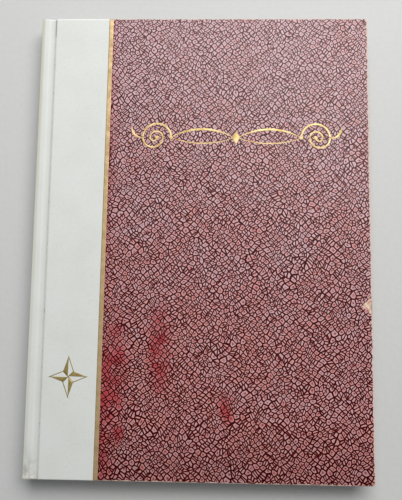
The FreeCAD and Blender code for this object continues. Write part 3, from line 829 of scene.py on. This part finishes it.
def rim_path(inset):
    """The rim moved in by each inset, as insets by path points by 2. The corner radius is the cover's own
    less the inset over the rim itself, and grows again on the flat, so no two points fall together."""
    inset = np.asarray(inset, float)[:, None]
    radius = np.maximum(CORNER_RADIUS - inset, FLAT_CORNER + FLAT_CORNER_GROWTH * inset)
    centre_x = HALF_WIDTH - inset - radius
    centre_y = HALF_HEIGHT - inset - radius
    share = np.linspace(0, 1, EDGE_POINTS)[None, :-1]
    way = np.linspace(-1, 1, FORE_POINTS)[None, 1:-1]
    angle = np.linspace(-math.pi / 2, 0, ARC_POINTS)[None, :]
    tail_x = SEAM_X + (centre_x - SEAM_X) * share
    tail_y = np.broadcast_to(-(centre_y + radius), tail_x.shape)
    arc_x = centre_x + radius * np.cos(angle)
    arc_y = -centre_y + radius * np.sin(angle)
    fore_y = centre_y * way
    fore_x = np.broadcast_to(centre_x + radius, fore_y.shape)
    x = np.hstack([tail_x, arc_x, fore_x, arc_x[:, ::-1], tail_x[:, ::-1]])
    y = np.hstack([tail_y, arc_y, fore_y, -arc_y[:, ::-1], -tail_y[:, ::-1]])
    return np.stack([x, y], axis=-1)


def paper_profile(lift):
    """(inset, height) from the face over two quarter-circle rims to the end of the turn-in, lift below the
    surface."""
    rim = rim_at(lift)
    quarter = np.linspace(0, math.pi / 2, RIM_ARC_POINTS)
    face = np.stack([FACE_INSETS, np.full(len(FACE_INSETS), TOP - lift)], axis=1)
    low = TOP - COVER_DEPTH + lift
    over = np.stack([lift + rim * (1 - np.sin(quarter)), TOP - lift - rim * (1 - np.cos(quarter))], axis=1)
    under = np.stack([lift + rim * (1 - np.cos(quarter)), low + rim * (1 - np.sin(quarter))], axis=1)
    return np.vstack([face, over, under, [[UNDER_INSET, low], [TURN_IN, low]]])


def flat_insets(profile):
    """Inset of each profile point on the flat sheet: the first inset less the length run since."""
    return profile[0, 0] - length_run(profile)


inside, outside = paper_profile(SKIN), paper_profile(0.0)
profile = np.vstack([inside, outside[::-1]])
plan = rim_path(profile[:, 0])
level = np.broadcast_to(profile[:, 1:], plan.shape[:2])
paper_points = np.concatenate([plan, level[..., None]], axis=-1).transpose(1, 0, 2)
flat_plan = rim_path(np.r_[flat_insets(inside), flat_insets(outside)[::-1]])
paper_sheet = np.concatenate([flat_plan, 0 * level[..., None]], axis=-1).transpose(1, 0, 2)
print("paper rim:", paper_points.shape[0], "points round,", paper_points.shape[1], "over")

# %% [markdown]
# The fore-edge of the front is dented where the paper was torn off, and its rim is no longer quite
# straight. The back is the plain skin turned over.

# %% Paper skins
DENT_DEPTH = 1.1
DENT_HALF = 3.6
DENT_REACH = 9.0
WAVE_MM = 0.1
WAVE_ALONG = 0.31
SLOW_WAVE_ALONG = 0.083
SLOW_WAVE_START = 1.0


def paper_faces(rows, columns):
    """Quads of the profile along the path, a polygon over each face, and one that closes the seam side."""
    row = np.arange(rows) * columns
    column = np.arange(columns)
    inner_face = row[::-1]
    outer_face = row + columns - 1
    seam_side = np.r_[column, column[::-1] + row[-1]]
    return grid_faces(rows, columns).tolist() + [p.tolist() for p in (inner_face, outer_face, seam_side)]


def dented(points):
    """The fore-edge moved in by a bell-shaped dent at the torn place and by two sine waves multiplied."""
    x, y = points[..., 0], points[..., 1]
    near_rim = smoothstep(HALF_WIDTH - DENT_REACH, HALF_WIDTH, x)
    dent = DENT_DEPTH * np.exp(-(((y - CHIP_Y) / DENT_HALF) ** 2))
    wave = WAVE_MM * np.sin(y * WAVE_ALONG) * np.sin(y * SLOW_WAVE_ALONG + SLOW_WAVE_START)
    return points - np.stack([near_rim * (dent + wave + WAVE_MM), 0 * x, 0 * x], axis=-1)


faces = paper_faces(*paper_points.shape[:2])
front_paper = make_piece("front_paper_skin", dented(paper_points), faces, front_paper_finish, paper_sheet)
back_sheet = paper_sheet[:, ::-1]
back_paper = make_piece("back_paper_skin", turned_over(paper_points), faces, back_paper_finish, back_sheet)
for piece, body, node in (
    (front_paper, "front_cover", "front_paper"),
    (back_paper, "back_cover", "back_paper"),
):
    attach(piece, body)
    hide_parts(node)
print("paper skin has", len(front_paper.data.vertices), "points")

# %% [markdown]
# ## The stamped foil
# The gold line covers the seam. It was laid a little askew: at the head it stands 1.4 mm further from the
# spine than at the tail. It is the hem loop again, a hair above the skins.

# %% Foil lines
LINE_WIDTH = 3.0
FOIL_PROUD = 0.04
FOIL_SUNK = 0.03
LINE_SLANT = 0.7
LINE_ROWS = 7

line_x = np.linspace(SEAM_X - LINE_WIDTH / 2, SEAM_X + LINE_WIDTH / 2, LINE_ROWS)
line_path = np.stack([line_x, np.full(LINE_ROWS, TOP)], axis=1)
line_points = wrapped_strip(line_path, COVER_DEPTH, -FOIL_PROUD, FOIL_SUNK)
line_points[..., 0] += LINE_SLANT * line_points[..., 1] / HALF_HEIGHT
line_faces = tube_faces(line_points)
front_line = make_piece("front_foil_line_skin", line_points, line_faces, line_foil)
back_line = make_piece("back_foil_line_skin", turned_over(line_points), line_faces, line_foil)
for piece, body, node in (
    (front_line, "front_cover", "front_foil_line"),
    (back_line, "back_cover", "back_foil_line"),
):
    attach(piece, body)
    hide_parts(node)
print("foil lines are", LINE_WIDTH, "mm wide")

# %% [markdown]
# The ornaments are pen strokes. A stroke is a band between two border lines, with a low dome across it,
# because foil is pressed down at its edges. A swash's width swells in the middle, a scroll's shrinks as it
# winds in, and half a star point is a band that narrows to its tip.

# %% Pen strokes
DOME_STEPS = 7
DOME_PROUD = 1.5 * FOIL_PROUD
BASE_SUNK = 2 * FOIL_SUNK


def band(left, right):
    """Closed rings across a band between two lines of (x, y) points: a flat base, and a dome that falls by
    the fourth power of the distance from the middle."""
    across = np.linspace(0, 1, DOME_STEPS)
    dome = DOME_PROUD - (DOME_PROUD + FOIL_SUNK) * (2 * across - 1) ** 4
    share = np.r_[across, 1.0, 0.0][None, :, None]
    height = TOP + np.r_[dome, -BASE_SUNK, -BASE_SUNK]
    plan = right[:, None] + (left - right)[:, None] * share
    return np.concatenate([plan, np.broadcast_to(height[:, None], (*plan.shape[:2], 1))], axis=-1)


def stroke(centre, width):
    """The band along a centre line, with a width at each of its points."""
    heading = headings(centre)
    aside = np.stack([-heading[:, 1], heading[:, 0]], axis=1) * np.asarray(width)[:, None] / 2
    return band(centre + aside, centre - aside)


def stamp(name, bands, foil, node):
    """One foil piece on the front cover from several bands, in place of a CAD node."""
    sizes = [b.shape[0] * b.shape[1] for b in bands]
    starts = np.r_[0, np.cumsum(sizes)[:-1]]
    faces = [(np.array(f) + s).tolist() for b, s in zip(bands, starts) for f in tube_faces(b)]
    points = np.vstack([b.reshape(-1, 3) for b in bands])
    piece = make_piece(name, points, faces, foil)
    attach(piece, "front_cover")
    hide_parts(node)


print("a stroke has", band(np.zeros((2, 2)), np.ones((2, 2))).shape[1], "points in each ring")

# %% [markdown]
# The star is the four-pointed compass star of old maps. Each point is split along its ridge: one half is
# filled, and the other is only outlined, which makes it look folded.

# %% Star
STAR_WAIST = 3.7
STAR_LINE = 0.7
STAR_FILLED_SHARE = 0.99
STAR_ROWS = 12


def star_bands(centre, half):
    """For each tip: the filled half, cut a hair short of it, and two lines round the open half."""
    bands = []
    t = np.linspace(0, 1, STAR_ROWS)[:, None]
    short = STAR_FILLED_SHARE * t
    width = np.full(STAR_ROWS, STAR_LINE)
    quarter_turn = np.array([[0, 1], [-1, 0]])
    turn = np.eye(2)
    for reach in (*half, *half):
        tip = np.array([reach, 0]) @ turn
        filled = np.array([STAR_WAIST, STAR_WAIST]) @ turn
        hollow = np.array([STAR_WAIST, -STAR_WAIST]) @ turn
        bands.append(band(centre + filled + (tip - filled) * short, centre + tip * short))
        slope = (tip - hollow) / np.linalg.norm(tip - hollow)
        inset = np.array([-slope[1], slope[0]]) * STAR_LINE / 2
        bands.append(stroke(centre + inset + hollow + (tip - hollow) * t, width))
        bands.append(stroke(centre + hollow * (1 - t), width))
        turn = turn @ quarter_turn
    return bands


star_low, star_high = box_mm("front_star")
star_centre = ((star_low + star_high) / 2)[:2]
star_half = ((star_high - star_low) / 2)[:2]
stamp("star_foil", star_bands(star_centre, star_half), star_foil, "front_star")
print("star at", star_centre.round(1), "mm")

# %% [markdown]
# The flourish has a lozenge in the middle and, on each side, two swashes that run out to a scroll with a
# short tail. Each swash has a sag and a width that swells. The scroll is made of half rings that shrink by
# turns, each beginning where the last one ended.

# %% Flourish
STROKE_POINTS = 40
RING_POINTS = 30
DOT_POINTS = 17
LOZENGE_POINTS = 15
TIP_WIDTH = 0.02
SWASH_START = 1.5
SWASH_END = 44.0
SWASH_THIN = 0.35
SWASH_SAG_AND_SWELL = ((5.8, 1.4), (-4.0, 0.6))
SCROLL_RADII = (9.6, 6.8, 4.3, 2.3)
SCROLL_WIDTH = 1.4
SCROLL_TAPER = 0.12
DOT_RADII = (1.4, 1.2)
TAIL_ENDS = ((63.2, 0), (70.7, 8.0))
TAIL_SAG = -2.8
TAIL_THIN = 0.2
TAIL_SWELL = 1.5
LOZENGE_WIDTH = 6.0
LOZENGE_HALF = 4.5
FLOURISH_UP = 225.5


def arc_between(start, end, sag):
    """Points on the arc of a circle from start to end that bulges to the left by sag."""
    start, end = np.array(start, float), np.array(end, float)
    length = np.linalg.norm(end - start)
    along = (end - start) / length
    left = np.array([-along[1], along[0]]) * math.copysign(1, sag)
    radius = (length**2 / 4 + sag**2) / (2 * abs(sag))
    reach = 2 * math.atan2(2 * abs(sag), length)
    angle = np.linspace(-reach, reach, STROKE_POINTS)[:, None]
    centre = (start + end) / 2 + left * (abs(sag) - radius)
    return centre + radius * (along * np.sin(angle) + left * np.cos(angle))


def dot(x, radius):
    """Centre line and widths of a round dot: each width is the chord of a circle."""
    chord = np.linspace(-1, 1, DOT_POINTS)
    line = np.stack([x + radius * chord, np.zeros(DOT_POINTS)], axis=1)
    return line, 2 * radius * np.sqrt(np.maximum(1 - chord**2, 0)) + TIP_WIDTH


def half_flourish():
    """Centre lines and widths of the strokes on the right of the lozenge."""
    swell = np.sin(np.linspace(0, math.pi, STROKE_POINTS))
    lines = []
    for sag, width in SWASH_SAG_AND_SWELL:
        swash = arc_between((SWASH_START, 0), (SWASH_END, 0), sag)
        lines.append((swash, SWASH_THIN + width * swell))
    x = SWASH_END
    angle = np.linspace(math.pi, 0, RING_POINTS)
    for number, radius in enumerate(SCROLL_RADII):
        side = (-1) ** number
        ring = np.stack([x + side * radius * (1 + np.cos(angle)), side * radius * np.sin(angle)], axis=1)
        lines.append((ring, np.full(RING_POINTS, SCROLL_WIDTH - SCROLL_TAPER * number)))
        x += 2 * side * radius
    dots = [dot(middle, radius) for middle, radius in zip((x, SWASH_END), DOT_RADII)]
    tail = (arc_between(*TAIL_ENDS, TAIL_SAG), TAIL_THIN + TAIL_SWELL * swell)
    return [*lines, *dots, tail]


flourish_low, flourish_high = box_mm("front_flourish")
flourish_centre = np.array([(flourish_low[0] + flourish_high[0]) / 2, FLOURISH_UP - HALF_HEIGHT])
lozenge = np.linspace(-1, 1, LOZENGE_POINTS)
lozenge_line = np.stack([np.zeros(LOZENGE_POINTS), LOZENGE_HALF * lozenge], axis=1)
bands = [stroke(flourish_centre + lozenge_line, LOZENGE_WIDTH * (1 - np.abs(lozenge)) + TIP_WIDTH)]
for side in (1, -1):
    bands += [stroke(flourish_centre + line * [side, 1], width) for line, width in half_flourish()]
stamp("flourish_foil", bands, flourish_foil, "front_flourish")
print("flourish of", len(bands), "strokes")

# %% [markdown]
# ## Stage and light
# The floor is a plain pale sheet. One large window of light stands beyond the head of the album, so that
# the head is brighter than the tail and the varnished paper shows a soft sheen towards the head. An even
# sky lightens the shadows.

# %% Stage
FLOOR_HALF_MM = 6000.0
WINDOW_PLACE = Vector((0.25, 0.6, 0.95))
LIT_PLACE = Vector((0.0, 0.05, 0.0))
WINDOW_SIZE = (1.1, 0.65)
WINDOW_WATTS = 15.0
SKY_STRENGTH = 0.24

floor_material, add, floor_shader, floor_position = start_material("pale_paper_floor")
mottle = add("TexNoise", {"Vector": floor_position, "Scale": 1 / 3, "Detail": 4.0})
floor_colour = add("Mix", {0: mottle, 6: "#c6c6c4", 7: "#cfcfcd"}, **COLOUR)
set_inputs(floor_shader, {"Base Color": floor_colour, "Roughness": 0.85})
floor_points = np.array([[[-1, -1, 0], [-1, 1, 0]], [[1, -1, 0], [1, 1, 0]]]) * FLOOR_HALF_MM
floor = make_piece("floor", floor_points, grid_faces(2, 2).tolist(), floor_material)

window = bpy.data.lights.new("window_at_head", "AREA")
window.shape = "RECTANGLE"
window.size, window.size_y = WINDOW_SIZE
window.energy = WINDOW_WATTS
lamp = bpy.data.objects.new("window_at_head", window)
lamp.location = WINDOW_PLACE
lamp.rotation_euler = (LIT_PLACE - WINDOW_PLACE).to_track_quat("-Z", "Y").to_euler()
bpy.context.scene.collection.objects.link(lamp)

world = bpy.data.worlds.new("even_sky")
world.use_nodes = True
sky = world.node_tree.nodes["Background"]
set_inputs(sky, {"Color": "#eef2f6", "Strength": SKY_STRENGTH})
bpy.context.scene.world = world
bpy.context.scene.view_settings.view_transform = "Standard"

# %% [markdown]
# ## Camera
# The camera stands where the photograph was taken from: about 40 cm above the cover, a little to the
# fore-edge side of its middle and nearer the tail, looking slightly towards the head. Its place was worked
# out from the four corners of the cover in the photograph.

# %% Camera
FOCAL_PX = 600.0
LONG_SIDE_PX = 500.0
CAMERA_X = 12.2
CAMERA_Y = -50.79
CAMERA_UP = 394.82
camera_data = bpy.data.cameras.new("photo_camera")
camera_data.sensor_width = 36.0
camera_data.lens = camera_data.sensor_width * FOCAL_PX / LONG_SIDE_PX
camera_data.clip_start = 0.01
camera_data.clip_end = 20.0
camera = bpy.data.objects.new("photo_camera", camera_data)
right = Vector((0.9995, 0.01338, -0.02856))
ahead = Vector((-0.02989, 0.11235, -0.99322))
turn = Matrix((right, right.cross(ahead), -ahead)).transposed()
place = Vector((CAMERA_X, CAMERA_Y, CAMERA_UP + TOP)) * MM
camera.matrix_world = Matrix.Translation(place) @ turn.to_4x4()
bpy.context.scene.collection.objects.link(camera)
bpy.context.scene.camera = camera
print("lens", round(camera_data.lens, 1), "mm")

# %% [markdown]
# ## The end
# The scene is brought up to date once more.

# %% Finish
bpy.context.view_layer.update()
